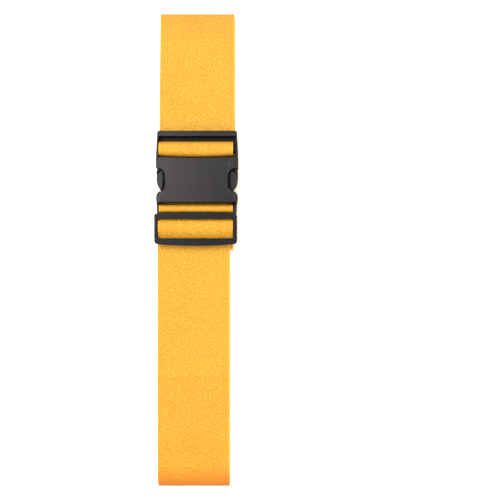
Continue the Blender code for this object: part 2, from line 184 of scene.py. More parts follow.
def webbing_material():
    """Golden polyester webbing: bright crowns, furrows and folds with painted shade, fine fibres."""
    made, tree, shader = new_material("golden_webbing")
    attribute = tree.nodes.new("ShaderNodeAttribute")
    attribute.attribute_name = "weave"
    parts = tree.nodes.new("ShaderNodeSeparateXYZ")
    tree.links.new(attribute.outputs["Vector"], parts.inputs[0])
    column, row, edge = parts.outputs
    whole = math_node(tree, "FLOOR", column)
    inside = math_node(tree, "SUBTRACT", math_node(tree, "FRACT", column), 0.5)
    across = math_node(tree, "COSINE", math_node(tree, "MULTIPLY", inside, math.pi))
    odd = math_node(tree, "MULTIPLY", math_node(tree, "MODULO", whole, 2.0), 0.5)
    turn = math_node(tree, "MULTIPLY", math_node(tree, "ADD", row, odd), 2 * math.pi)
    along = math_node(tree, "MULTIPLY_ADD", math_node(tree, "COSINE", turn), -0.5, 0.5)
    crown = math_node(tree, "MULTIPLY", across, along, clamp=True)

    place = tree.nodes.new("ShaderNodeTexCoord").outputs["Object"]
    tint = noise_node(tree, place, 45.0, 2.0)
    yarn = tree.nodes.new("ShaderNodeTexWhiteNoise")
    yarn.noise_dimensions = "2D"
    cell = tree.nodes.new("ShaderNodeCombineXYZ")
    tree.links.new(whole, cell.inputs[0])
    half_row = math_node(tree, "ADD", row, odd)
    tree.links.new(math_node(tree, "FLOOR", half_row), cell.inputs[1])
    tree.links.new(cell.outputs[0], yarn.inputs["Vector"])

    furrow, bright, dull = (0.50, 0.195, 0.003), (0.76, 0.405, 0.014), (0.52, 0.23, 0.003)
    shiny, pale, selvedge = (0.80, 0.47, 0.02), (0.78, 0.42, 0.02), (0.76, 0.42, 0.02)
    fold_shade_colour = (0.60, 0.130, 0.001)
    # Painted shade: the furrows between the yarn crowns are coloured darker, adding to the shade the relief
    # casts.
    colour = mix_colour(tree, math_node(tree, "POWER", crown, 0.8), furrow, bright)
    varied = map_range(tree, yarn.outputs["Value"], 0.0, 1.0, 0.0, 0.3)
    colour = mix_colour(tree, varied, colour, dull)
    glint = map_range(tree, noise_node(tree, place, 700.0, 2.0), 0.48, 0.70, 0.0, 0.6)
    colour = mix_colour(tree, glint, colour, shiny)
    patch = map_range(tree, tint, 0.35, 0.75, 0.0, 0.14)
    colour = mix_colour(tree, patch, colour, pale)
    colour = mix_colour(tree, edge, colour, selvedge)
    # Painted shade on folds, deeper towards the low tip; only partly the yarns opening up.
    bend = tree.nodes.new("ShaderNodeAttribute")
    bend.attribute_name = "bend"
    painted_fold_shade = math_node(tree, "MULTIPLY", bend.outputs["Fac"], 0.10)
    colour = mix_colour(tree, painted_fold_shade, colour, fold_shade_colour)
    tree.links.new(colour, shader.inputs["Base Color"])

    fibres = noise_node(tree, attribute.outputs["Vector"], 9.0, 4.0, 0.6, (1.6, 0.7, 1.0))
    normal = bump_node(tree, fibres, 0.35, 0.00012)
    tree.links.new(normal, shader.inputs["Normal"])
    rough = map_range(tree, crown, 0.0, 1.0, 0.80, 0.50)
    tree.links.new(rough, shader.inputs["Roughness"])
    shader.inputs["Sheen Weight"].default_value = 0.05
    shader.inputs["Sheen Roughness"].default_value = 0.4
    shader.inputs["Sheen Tint"].default_value = (1.0, 0.82, 0.45, 1.0)
    shader.inputs["Specular IOR Level"].default_value = 0.55
    return made


def crevice(tree, reach):
    """1 in the open and towards 0 deep in a groove or under an edge."""
    node = tree.nodes.new("ShaderNodeAmbientOcclusion")
    node.samples = 8
    node.inputs["Distance"].default_value = reach
    return node.outputs["AO"]


def plastic_material(name, colour, sheen_and_worn_tone, roughness, gloss):
    """Moulded acetal: satin, spark-eroded grain, flow marks, worn edges, painted sheen and shade."""
    made, tree, shader = new_material(name)
    place = tree.nodes.new("ShaderNodeTexCoord").outputs["Object"]
    flow = noise_node(tree, place, 38.0, 3.0, 0.5, (1.0, 0.35, 1.0))
    speck = noise_node(tree, place, 2600.0, 2.0, 0.6)
    parts = tree.nodes.new("ShaderNodeSeparateXYZ")
    tree.links.new(place, parts.inputs[0])
    # Painted sheen: the left side is lighter, as a lamp's reflection makes it; flow marks add real patches.
    painted_sheen = map_range(tree, parts.outputs[0], -27.0 * MM, 12.0 * MM, 1.1, 0.0)
    sheen_and_flow = math_node(tree, "ADD", painted_sheen, map_range(tree, flow, 0.3, 0.7, -0.05, 0.3))
    tone = mix_colour(tree, sheen_and_flow, colour, sheen_and_worn_tone)
    tone = mix_colour(tree, map_range(tree, speck, 0.45, 0.75, 0.0, 0.18), tone, sheen_and_worn_tone)
    edge = tree.nodes.new("ShaderNodeNewGeometry").outputs["Pointiness"]
    worn = map_range(tree, edge, 0.53, 0.62, 0.0, 0.35)
    scuffs = noise_node(tree, place, 420.0, 3.0, 0.65)
    worn = math_node(tree, "MULTIPLY", worn, map_range(tree, scuffs, 0.42, 0.62))
    tone = mix_colour(tree, worn, tone, tuple(min(1.0, c * 2.2) for c in sheen_and_worn_tone))
    # Painted shade: darker on steep sides, in grooves and under edges, and from the mouth over the tongue.
    upward = tree.nodes.new("ShaderNodeSeparateXYZ")
    tree.links.new(tree.nodes.new("ShaderNodeNewGeometry").outputs["Normal"], upward.inputs[0])
    side = map_range(tree, upward.outputs[2], 0.35, 0.96, 0.30, 1.0)
    painted_crevice_shade = map_range(tree, crevice(tree, 6.0 * MM), 0.45, 0.92)
    mouth = map_range(tree, parts.outputs[1], 59.5 * MM, 64.5 * MM, 1.0, 0.72)
    painted_shade = math_node(tree, "MULTIPLY", math_node(tree, "MULTIPLY", side, painted_crevice_shade), mouth)
    shaded = (0.0012, 0.0010, 0.0009)
    tone = mix_colour(tree, painted_shade, shaded, tone)
    tree.links.new(tone, shader.inputs["Base Color"])
    shader.inputs["Specular IOR Level"].default_value = gloss
    rough = map_range(tree, flow, 0.3, 0.7, roughness - 0.04, roughness + 0.05)
    tree.links.new(rough, shader.inputs["Roughness"])
    normal = bump_node(tree, speck, 0.5, 0.00005)
    tree.links.new(normal, shader.inputs["Normal"])
    return made


def floor_material():
    """A white floor that glows a little: painted light that washes out shadows cast on it."""
    made, tree, shader = new_material("pale_floor")
    place = tree.nodes.new("ShaderNodeTexCoord").outputs["Object"]
    faint = noise_node(tree, place, 4.0, 2.0)
    tone = mix_colour(tree, faint, (0.93, 0.93, 0.935), (0.95, 0.95, 0.95))
    tree.links.new(tone, shader.inputs["Base Color"])
    shader.inputs["Roughness"].default_value = 0.9
    # Painted light: the glow fills in the shadows cast on the floor.
    shader.inputs["Emission Color"].default_value = (1.0, 1.0, 1.0, 1.0)
    shader.inputs["Emission Strength"].default_value = 0.25
    return made


WEBBING = webbing_material()
charcoal, sheen_and_worn_charcoal = (0.0150, 0.0130, 0.0124), (0.0330, 0.0290, 0.0280)
CHARCOAL = plastic_material("charcoal_acetal", charcoal, sheen_and_worn_charcoal, 0.44, 0.13)
black, sheen_and_worn_black = (0.0060, 0.0064, 0.0060), (0.0090, 0.0095, 0.0089)
BLACK = plastic_material("black_acetal", black, sheen_and_worn_black, 0.42, 0.10)


# ---------------------------------------------------------------- webbing
def ease(value):
    """0 to 1 with a soft start and a soft end."""
    value = np.clip(value, 0.0, 1.0)
    return value * value * (3.0 - 2.0 * value)


def rounded_route(corners, steps=14):
    """A route in Y and Z through corners (y, z, radius), each corner an arc."""
    route = [corners[0][:2]]
    for before, here, after in zip(corners, corners[1:], corners[2:]):
        ins = np.array([before[0] - here[0], before[1] - here[1]])
        out = np.array([after[0] - here[0], after[1] - here[1]])
        u, v = ins / np.hypot(*ins), out / np.hypot(*out)
        angle = math.acos(float(np.clip(u @ v, -1.0, 1.0)))
        back, along = here[2] / math.tan(angle / 2), (u + v) / np.hypot(*(u + v))
        centre = np.array(here[:2]) + along * here[2] / math.sin(angle / 2)
        first, last = np.array(here[:2]) + u * back - centre, np.array(here[:2]) + v * back - centre
        start, end = math.atan2(first[1], first[0]), math.atan2(last[1], last[0])
        turn = (end - start + math.pi) % (2 * math.pi) - math.pi
        for n in range(steps + 1):
            a = start + turn * n / steps
            route.append((centre[0] + here[2] * math.cos(a), centre[1] + here[2] * math.sin(a)))
    return route + [corners[-1][:2]]


def half_turn(y, z, radius, side, steps=16):
    """A fold: half a circle from height z - radius to z + radius, towards side."""
    angles = [math.radians(-90.0 + 180.0 * n / steps) for n in range(steps + 1)]
    return [(y + side * radius * math.cos(a), z + radius * math.sin(a)) for a in angles]


def resample(route, step):
    """Evenly spaced points along a route, and each point's distance along it."""
    route = np.array(route)
    run = np.concatenate([[0.0], np.cumsum(np.hypot(*np.diff(route, axis=0).T))])
    count = max(2, int(round(run[-1] / step)) + 1)
    at = np.linspace(0.0, run[-1], count)
    return np.column_stack([np.interp(at, run, route[:, k]) for k in range(2)]), at


def cross_positions(fine, samples):
    """The places, counted in columns, where a face between the selvedges has points."""
    if fine:
        return np.arange(0, COLUMNS * samples + 1) / samples
    return np.linspace(0, COLUMNS, 9)


def weave_height(column, row):
    """Height of the yarns, 0 in the furrows to 1 on the crowns."""
    whole = np.floor(column)
    across = np.cos(math.pi * (column - whole - 0.5))
    along = 0.5 - 0.5 * np.cos(2 * math.pi * (row + 0.5 * (whole % 2)))
    return np.clip(across, 0.0, 1.0) ** 0.8 * (0.22 + 0.78 * along**0.75)


def face_profile(width, inner, row, fine):
    """X offsets, heights, columns and edge shares of one face across the webbing."""
    steps = np.array(EDGE_STEPS)
    column_width = (width - 2 * SELVEDGE) / COLUMNS
    middle = SELVEDGE + inner * column_width
    x = np.concatenate([steps, middle, width - steps[::-1]])
    column = np.concatenate([steps / SELVEDGE - 1, inner, COLUMNS + 1 - steps[::-1] / SELVEDGE])
    near = np.minimum(x, width - x)
    rim = np.sqrt(np.clip(1 - (1 - np.clip(near / EDGE_ROUND, 0, 1)) ** 2, 0, 1))
    height = np.ones_like(x)
    if fine:
        woven = weave_height(np.clip(inner, 0, COLUMNS - 1e-6), row)
        selvedge = 0.86 + 0.14 * np.cos(4 * math.pi * row) * (steps > 0.1 * MM)
        height = np.concatenate([selvedge, woven, selvedge[::-1]])
    surface = HALF_THICK * rim - WEAVE_DEPTH * (1 - height) * rim
    share = np.clip(1 - near / SELVEDGE, 0, 1) ** 0.5
    return x - width / 2, surface, column, share


def bend_along(tangent, run):
    """0 where the webbing lies flat, up to 1 on a tight fold: the amount of painted fold shade."""
    angle = np.unwrap(np.arctan2(tangent[:, 1], tangent[:, 0]))
    curve = np.abs(np.gradient(angle, run))
    reach = max(1, int(round(1.5 * MM / (run[1] - run[0]))))
    window = np.hanning(2 * reach + 3)
    padded = np.pad(curve, reach + 1, mode="edge")
    smooth = np.convolve(padded, window / window.sum(), mode="valid")
    return np.clip(smooth * 3.0 * MM, 0.0, 1.0)


def ribbon_mesh(name, rings, weave, bend, outer):
    """A closed tube through the rings, keeping the weave and the painted fold shade at each point."""
    around, count = len(rings[0]), len(rings)
    index = np.arange(count * around).reshape(count, around)
    near, far = index[:-1], index[1:]
    quads = np.stack([near, np.roll(near, -1, 1), np.roll(far, -1, 1), far], -1).reshape(-1, 4)
    if outer < 0:
        quads = quads[:, ::-1]
    faces = quads.tolist() + [index[0].tolist()[::outer * -1], index[-1].tolist()[::outer]]
    mesh = bpy.data.meshes.new(name)
    mesh.from_pydata(np.concatenate(rings).tolist(), [], faces)
    stored = mesh.attributes.new("weave", "FLOAT_VECTOR", "POINT")
    stored.data.foreach_set("vector", np.concatenate(weave).astype(np.float32).ravel())
    bent = mesh.attributes.new("bend", "FLOAT", "POINT")
    bent.data.foreach_set("value", np.repeat(bend, around).astype(np.float32))
    mesh.shade_smooth()
    return mesh


def link(mesh, name):
    """Put a mesh in the scene as an object."""
    thing = bpy.data.objects.new(name, mesh)
    bpy.context.scene.collection.objects.link(thing)
    return thing


def fix_normals(thing):
    """Turn every face outwards."""
    work = bmesh.new()
    work.from_mesh(thing.data)
    bmesh.ops.recalc_face_normals(work, faces=work.faces)
    work.to_mesh(thing.data)
    work.free()


def ribbon(name, route, spread, outer=1, fine=True, both=False, step=0.52 * MM, samples=4,
           phase=0.0, lift=None, fold_shade=None, bulge=None):
    """Webbing along a route, woven on its outer side (and both sides if asked).

    spread(y) gives the width and the middle in X. outer is 1 where the woven
    side lies to the left of the route as it runs, or -1 for the other side.
    lift(y) raises it, crease(y, z) adds painted shade on its folds and bulge(x, y) moves it in Y.
    """
    points, run = resample(route, step)
    tangent = np.gradient(points, axis=0)
    tangent /= np.hypot(*tangent.T)[:, None]
    normal = np.column_stack([-tangent[:, 1], tangent[:, 0]]) * outer
    inner_top, inner_low = cross_positions(fine, samples), cross_positions(both, samples)
    rings, weave = [], []
    for (y, z), (ny, nz), at in zip(points, normal, run):
        width, middle = spread(y)
        row = (at + phase) / CELL
        x, up, column, rim = face_profile(width, inner_top, row, fine)
        x2, down, column2, rim2 = face_profile(width, inner_low, row + 0.25, both)
        xs = np.concatenate([x, x2[::-1][1:-1]]) + middle
        off = np.concatenate([up, -down[::-1][1:-1]])
        raised = lift(y) if lift else 0.0
        moved = bulge(xs, y) if bulge else 0.0
        rings.append(np.column_stack([xs, y + ny * off + moved, z + nz * off + raised]))
        columns = np.concatenate([column, column2[::-1][1:-1]])
        rims = np.concatenate([rim, rim2[::-1][1:-1]])
        weave.append(np.column_stack([columns, np.full_like(columns, row), rims]))
    bend = bend_along(tangent, run)
    if fold_shade:
        bend = bend + np.array([fold_shade(y, z) for y, z in points])
    thing = link(ribbon_mesh(name, rings, weave, bend, outer), name)
    fix_normals(thing)
    thing.data.materials.append(WEBBING)
    thing["flat_length"] = float(run[-1])
    return thing


def drift(first, last, first_y, last_y):
    """Width and middle that ease from one pair to another between two places in Y."""
    def spread(y):
        share = float(ease((y - first_y) / (last_y - first_y)))
        return tuple(a + (b - a) * share for a, b in zip(first, last))
    return spread


def face_lift(y):
    """Slow waves of the loose face ply, and a faint ridge over a fold beneath it."""
    wave = 0.10 * MM * math.sin(y / (17.0 * MM)) + 0.07 * MM * math.sin(y / (7.3 * MM) + 1.0)
    ridge = 0.30 * MM * math.exp(-(((y - RIDGE_Y) / (2.5 * MM)) ** 2))
    rest = float(ease((-5.0 * MM - y) / (12.0 * MM)) * ease((y + 150.0 * MM) / (15.0 * MM)))
    return (wave + ridge) * rest


def low_fold_shade(y, z):
    """Painted shade on the big low fold, darker towards the tip and a little below the ridge."""
    fold_shade = 5.2 * ease((NOSE_Y + 6.0 * MM - y) / (20.0 * MM))
    fold_shade += 3.0 * ease((NOSE_END_Y + 6.0 * MM - y) / (6.0 * MM))
    fold_shade += 0.5 * ease((RIDGE_Y - y) / (3.0 * MM))
    return float(fold_shade * ease(z / (3.0 * MM)))


def make_face_run():
    """From the tri-glide down the face and round the low end."""
    settle, steps = -127.0 * MM, 12
    rim_z, tip_z = NOSE_Z + 0.1 * MM, 2.0 * MM
    route = [(FACE_HIGH.y + 0.2 * MM, FACE_Z), (settle, FACE_Z)]
    for n in range(1, steps):
        share = n / steps
        y = settle + (NOSE_Y - settle) * share
        route.append((y, FACE_Z + (rim_z - FACE_Z) * float(ease(share))))
    for n in range(25):
        turn = math.radians(90.0 * n / 24)
        y = NOSE_Y + (NOSE_END_Y - NOSE_Y) * math.sin(turn)
        route.append((y, tip_z + (rim_z - tip_z) * math.cos(turn)))
    for n in range(1, 9):
        turn = math.radians(90.0 * n / 8)
        y = NOSE_END_Y + 2.6 * MM * (1 - math.cos(turn))
        route.append((y, tip_z - (tip_z - LAYER_Z[0]) * math.sin(turn)))
    route.append((NOSE_Y, LAYER_Z[0]))
    spread = drift(SLOT, LOW, FACE_HIGH.y, 0.0)
    thing = ribbon("strap_face_run", route, spread, outer=-1, lift=face_lift, fold_shade=low_fold_shade)
    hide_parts("webbing_face_run", "webbing_low_fold")
    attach(thing, "strap")
    return thing


def stack_spread(y):
    """Width and middle of the hidden layers, which lie askew under the buckle."""
    if y < 36.0 * MM:
        return drift(LOW, WAIST, -5.0 * MM, 36.0 * MM)(y)
    if y < 90.0 * MM:
        return drift(WAIST, TOP, 50.0 * MM, 76.0 * MM)(y)
    return drift(TOP, TIP, 100.0 * MM, TONGUE_HIGH.y)(y)


def tongue_spread(y):
    """Width and middle from the tongue's bar to the top fold."""
    if y < 100.0 * MM:
        return drift(ROLL, TOP, 76.0 * MM, 100.0 * MM)(y)
    return drift(TOP, TIP, 100.0 * MM, TONGUE_HIGH.y)(y)


def make_base_layer(start_phase):
    """The lowest layer, woven on the side that lies on the surface."""
    route = [(NOSE_Y, LAYER_Z[0])]
    route += half_turn(TURN_END_Y, LAYER_Z[0] + PITCH / 2, PITCH / 2, 1)
    route.append((TURN_END_Y - 12.0 * MM, LAYER_Z[1]))
    thing = ribbon("strap_base_layer", route, stack_spread, outer=-1, step=0.78 * MM,
                   samples=3, phase=start_phase)
    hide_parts("webbing_folded_layers")
    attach(thing, "strap")


def make_inner_layers():
    """The hidden middle layers, and the one that follows the tongue when it leaves."""
    route = [(TURN_END_Y - 12.0 * MM - GAP / 2, LAYER_Z[1])]
    route += half_turn(NOSE_Y + 2.0 * MM, LAYER_Z[1] + PITCH / 2, PITCH / 2, -1)
    route += half_turn(TURN_END_Y - 0.6 * MM, LAYER_Z[2] + PITCH / 2, PITCH / 2, 1)
    route += [(STRETCH_END_Y, LAYER_Z[3])]
    thing = ribbon("strap_inner_layers", route, stack_spread, fine=False, step=0.9 * MM)
    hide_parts("webbing_folded_layers")
    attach(thing, "strap")
    route = [(STRETCH_END_Y - GAP / 2, LAYER_Z[3])]
    route += half_turn(NOSE_Y + 2.8 * MM, LAYER_Z[3] + PITCH / 2, PITCH / 2, -1)
    route += [(SPLIT_Y - GAP / 2, LAYER_Z[4])]
    thing = ribbon("strap_upper_layer", route, stack_spread, fine=False, step=0.9 * MM)
    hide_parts("webbing_folded_layers")
    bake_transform(thing)


def roll_bulge(x, y):
    """The roll round the tongue's bar swells a little towards the mouth."""
    low_side = float(ease((TONGUE_LOW.y + 5.0 * MM - y) / (4.0 * MM)))
    return -ROLL_BULGE * low_side * np.clip(1 - (x / (ROLL[0] / 2)) ** 2, 0.0, 1.0)


def top_fold_shade(y, z):
    """Painted shade over the last stretch before the top fold."""
    return 1.6 * float(ease((y - TONGUE_HIGH.y + 26.0 * MM) / (24.0 * MM)))


def make_tongue_run():
    """From the top fold down to the tongue's bar, round it and back underneath."""
    low = TONGUE_LOW.y + HALF_THICK
    high = low + 8.8 * MM
    top = TONGUE_HIGH.z - HALF_THICK
    corners = [
        (TOP_FOLD_Y, FACE_Z),
        (high, FACE_Z, 1.0 * MM),
        (high, top, 3.3 * MM),
        (low, top, 3.3 * MM),
        (low, UNDER_Z, 1.4 * MM),
        (TONGUE_PLY_END_Y, UNDER_Z),
    ]
    route = [(SPLIT_Y + GAP / 2, LAYER_Z[4])]
    route += half_turn(TOP_FOLD_Y, (FACE_Z + LAYER_Z[4]) / 2, TOP_FOLD_R, 1)
    route += rounded_route(corners)[1:]
    thing = ribbon("strap_tongue_run", route, tongue_spread, outer=-1, fold_shade=top_fold_shade, bulge=roll_bulge)
    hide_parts("webbing_tongue_run")
    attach(thing, "tongue")


def make_end_loop():
    """Round the shell's end bar, from the tail ply to the face ply."""
    low, high = LOOP_HIGH.y - HALF_THICK - 4.4 * MM, LOOP_HIGH.y - HALF_THICK
    top = LOOP_HIGH.z - HALF_THICK
    corners = [
        (TAIL_HIGH.y + 0.4 * MM, UNDER_Z),
        (high, 8.7 * MM, 1.6 * MM),
        (high, top, 2.6 * MM),
        (low, top, 2.1 * MM),
        (low, FACE_Z, 1.9 * MM),
        (FACE_HIGH.y + 0.2 * MM, FACE_Z),
    ]
    thing = ribbon("strap_end_loop", rounded_route(corners), lambda y: SLOT, outer=-1, step=0.39 * MM)
    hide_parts("webbing_end_loop")
    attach(thing, "strap")


def make_glide_turn():
    """Over the tri-glide's middle bar."""
    foot, hump = TURN_LOW.z + HALF_THICK, TURN_HIGH.z - HALF_THICK
    middle = (TURN_LOW.y + TURN_HIGH.y) / 2
    corners = [
        (middle - 8.9 * MM, foot),
        (middle - 7.6 * MM, foot, 1.0 * MM),
        (middle - 1.2 * MM, hump, 8.0 * MM),
        (middle + 4.3 * MM, hump, 2.6 * MM),
        (middle + 7.4 * MM, foot, 1.0 * MM),
        (middle + 8.9 * MM, foot),
    ]
    thing = ribbon("strap_glide_turn", rounded_route(corners), lambda y: HUMP, step=0.39 * MM)
    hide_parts("webbing_glide_turn")
    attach(thing, "adjuster")


def make_tail():
    """The heat-cut end behind the tri-glide, joined to the loop at its other end."""
    route = [(TAIL_HIGH.y + 0.2 * MM, UNDER_Z), (TAIL_LOW.y, UNDER_Z)]
    spread = drift(SLOT, TAIL, TAIL_HIGH.y, TAIL_LOW.y)
    thing = ribbon("strap_tail", route, spread, outer=-1)
    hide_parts("webbing_tail")
    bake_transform(thing)


# ---------------------------------------------------------------- moulded hardware
def arc(centre, radius, start, end, steps=12):
    """Points round a centre, from one angle in degrees to another."""
    angles = [math.radians(start + (end - start) * n / steps) for n in range(steps + 1)]
    return [(centre[0] + radius * math.cos(a), centre[1] + radius * math.sin(a)) for a in angles]


def mirrored(half_outline):
    """A whole outline from its right half."""
    return half_outline + [(-x, y) for x, y in reversed(half_outline)]


def prism(name, base, run):
    """A solid: a flat outline in space, drawn out along a run."""
    work = bmesh.new()
    face = work.faces.new([work.verts.new(point) for point in base])
    grown = bmesh.ops.extrude_face_region(work, geom=[face])["geom"]
    moved = [v for v in grown if isinstance(v, bmesh.types.BMVert)]
    bmesh.ops.translate(work, verts=moved, vec=run)
    bmesh.ops.recalc_face_normals(work, faces=work.faces)
    mesh = bpy.data.meshes.new(name)
    work.to_mesh(mesh)
    work.free()
    return link(mesh, name)


def plate(name, outline, z_range, x=0.0):
    """A flat outline in X and Y, given a thickness."""
    base = [(px + x, py, z_range[0]) for px, py in outline]
    return prism(name, base, (0.0, 0.0, z_range[1] - z_range[0]))


def bar(name, x_range, outline):
    """A bar along X with an outline in Y and Z."""
    base = [(x_range[0], py, pz) for py, pz in outline]
    return prism(name, base, (x_range[1] - x_range[0], 0.0, 0.0))


def along_y(name, outline, y_range):
    """A solid along Y with an outline in X and Z."""
    base = [(px, y_range[0], pz) for px, pz in outline]
    return prism(name, base, (0.0, y_range[1] - y_range[0], 0.0))


def rounded_box(low, high, radius, steps=8):
    """A rectangle's outline with round corners."""
    (x0, y0), (x1, y1) = low, high
    points = arc((x1 - radius, y1 - radius), radius, 0, 90, steps)
    points += arc((x0 + radius, y1 - radius), radius, 90, 180, steps)
    points += arc((x0 + radius, y0 + radius), radius, 180, 270, steps)
    return points + arc((x1 - radius, y0 + radius), radius, 270, 360, steps)


def block(name, low, high):
    """A plain box between two corners."""
    outline = [(low[0], low[1]), (high[0], low[1]), (high[0], high[1]), (low[0], high[1])]
    return plate(name, outline, (low[2], high[2]))


def combine(thing, tool, operation):
    """Join, cut out or intersect a tool solid, and remove it.

    The result is kept as triangles, which are flat, so that each boolean is exact.
    """
    change = thing.modifiers.new(tool.name, "BOOLEAN")
    change.operation = operation
    change.solver = "EXACT"
    change.object = tool
    bake(thing)
    put_in_order(thing)
    merge_flat(thing, 0.02, 0.002 * MM, triangles=True)
    bpy.data.objects.remove(tool, do_unlink=True)


def bake(thing):
    """Apply an object's modifiers to its mesh."""
    bpy.context.view_layer.update()
    graph = bpy.context.evaluated_depsgraph_get()
    mesh = bpy.data.meshes.new_from_object(thing.evaluated_get(graph))
    thing.modifiers.clear()
    thing.data = mesh


def put_in_order(thing):
    """Sort a solid's points and faces, because a boolean leaves them in any order.

    Without this, the next step would differ a little from run to run.
    """
    points = [tuple(vertex.co) for vertex in thing.data.vertices]
    order = sorted(range(len(points)), key=lambda n: points[n])
    place = {old: new for new, old in enumerate(order)}
    faces = []
    for face in thing.data.polygons:
        corners = [place[n] for n in face.vertices]
        first = corners.index(min(corners))
        faces.append(corners[first:] + corners[:first])
    mesh = bpy.data.meshes.new(thing.name)
    mesh.from_pydata([points[n] for n in order], [], sorted(faces))
    thing.data = mesh


def merge_flat(thing, angle, reach, triangles=False):
    """Merge points within reach, and faces that meet at less than an angle in degrees."""
    work = bmesh.new()
    work.from_mesh(thing.data)
    bmesh.ops.remove_doubles(work, verts=work.verts, dist=reach)
    bmesh.ops.dissolve_limit(work, angle_limit=math.radians(angle), verts=work.verts, edges=work.edges)
    if triangles:
        bmesh.ops.triangulate(work, faces=work.faces)
    work.to_mesh(thing.data)
    work.free()


def soften(thing, width, segments, flat_angle=0.5):
    """Round every edge sharper than 32 degrees."""
    merge_flat(thing, flat_angle, 0.02 * MM)
    rounding = thing.modifiers.new("rounded edges", "BEVEL")
    rounding.width = width
    rounding.segments = segments
    rounding.limit_method = "ANGLE"
    rounding.angle_limit = math.radians(32.0)
    rounding.miter_outer = "MITER_ARC"
    bake(thing)
    thing.data.shade_smooth()
    thing.data.set_sharp_from_angle(angle=math.radians(35.0))
    weighted = thing.modifiers.new("weighted normals", "WEIGHTED_NORMAL")
    weighted.keep_sharp = True


def thicken_right(thing):
    """Make a buckle moulding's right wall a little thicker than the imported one."""
    inside, thickness, extra = 25.0 * MM, 2.0 * MM, 0.4 * MM
    for vertex in thing.data.vertices:
        vertex.co.x += extra * min(1.0, max(0.0, (vertex.co.x - inside) / thickness))


def finish_part(thing, material, body, node):
    """Give a moulding its material, and say what it stands for and rides on."""
    thing.data.materials.clear()
    thing.data.materials.append(material)
    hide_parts(node)
    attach(thing, body)


SHELL_HALF, SHELL_LOW_HALF = 27.4 * MM, 27.1 * MM  # above and below the windows
SHELL_EDGE_Y = 32.65 * MM  # the shell's edge over the webbing slot
MOUTH_BOW = 1.3 * MM
SLOT_X = (-25.45 * MM, 25.25 * MM)
RAIL_HALF = (27.0 * MM, 26.6 * MM)  # at the shell and at the rails' free ends
RAIL_X = 0.25 * MM  # the rails' middle in X
RAIL_Z = (9.2 * MM, 14.8 * MM)
CAVITY_Z = (9.1 * MM, 18.4 * MM)


def window_outline():
    """The bite that opens each side of the shell."""
    outer = SHELL_HALF + 2.0 * MM
    upper = arc((26.6 * MM, 50.1 * MM), 5.7 * MM, 90.0, 180.0, 16)
    lower = arc((24.4 * MM, 43.6 * MM), 3.5 * MM, 180.0, 270.0, 12)
    flare = smooth_open([(25.1 * MM, 40.1 * MM), (26.3 * MM, 38.9 * MM), (27.1 * MM, 37.1 * MM)])
    return [(outer, 55.8 * MM)] + upper + lower + flare + [(outer, 36.2 * MM)]


def round_profile(half, low, high, radii, fall, steps=40):
    """A section with a crowned top: fall lower at the sides, with round shoulders."""
    shoulders = []
    for side, radius in zip((-1, 1), radii):
        z = high - fall * ((half - radius) / half) ** 2
        turn = arc((half - radius, z - radius), radius, 90.0, 0.0, 10)
        shoulders.append([(side * x, z) for x, z in turn][::side])
    inner = []
    for n in range(steps + 1):
        x = half * (2 * n / steps - 1)
        if radii[0] - half < x < half - radii[1]:
            inner.append((x, high - fall * (x / half) ** 2))
    return shoulders[0] + inner + shoulders[1] + [(half, low), (-half, low)]


def shell_block():
    """The shell's outside: a bowed mouth, a crowned face and the two rails."""
    steps = 24
    mouth = []
    for n in range(steps + 1):
        x = SHELL_HALF * (2 * n / steps - 1)
        mouth.append((x, SHELL_HIGH.y - MOUTH_BOW * (1 - (x / SHELL_HALF) ** 2)))
    low_side = [(SHELL_HALF, 45.0 * MM), (SHELL_LOW_HALF, 44.0 * MM)]
    low_side += arc((SHELL_LOW_HALF - 1.6 * MM, SHELL_EDGE_Y + 1.6 * MM), 1.6 * MM, 0.0, -90.0, 6)
    outline = mouth + low_side + [(-x, y) for x, y in reversed(low_side)]
    body = plate("buckle_shell", outline, (SHELL_LOW.z, SHELL_HIGH.z + MM), BUCKLE_X)
    sides = (1.4 * MM, 1.4 * MM)
    across = round_profile(SHELL_HALF + 0.01 * MM, SHELL_LOW.z - MM, SHELL_HIGH.z, sides, 0.5 * MM)
    across = [(x + BUCKLE_X, z) for x, z in across]
    combine(body, along_y("crown_across", across, (20.0 * MM, 70.0 * MM)), "INTERSECT")
    half = (SHELL_HIGH.y - SHELL_EDGE_Y) / 2
    ends = (0.9 * MM, 2.2 * MM)
    along = round_profile(half, SHELL_LOW.z - MM, SHELL_HIGH.z, ends, 0.25 * MM)
    along = [(y + SHELL_EDGE_Y + half, z) for y, z in along]
    combine(body, bar("crown_along", (-0.03, 0.03), along), "INTERSECT")
    rail_end = SHELL_LOW.y - 0.3 * MM
    half = [(RAIL_HALF[0], SHELL_EDGE_Y + 1.6 * MM), (RAIL_HALF[0], SHELL_EDGE_Y), (RAIL_HALF[1], rail_end)]
    combine(body, plate("end_frame", mirrored(half), RAIL_Z, RAIL_X), "UNION")
    return body


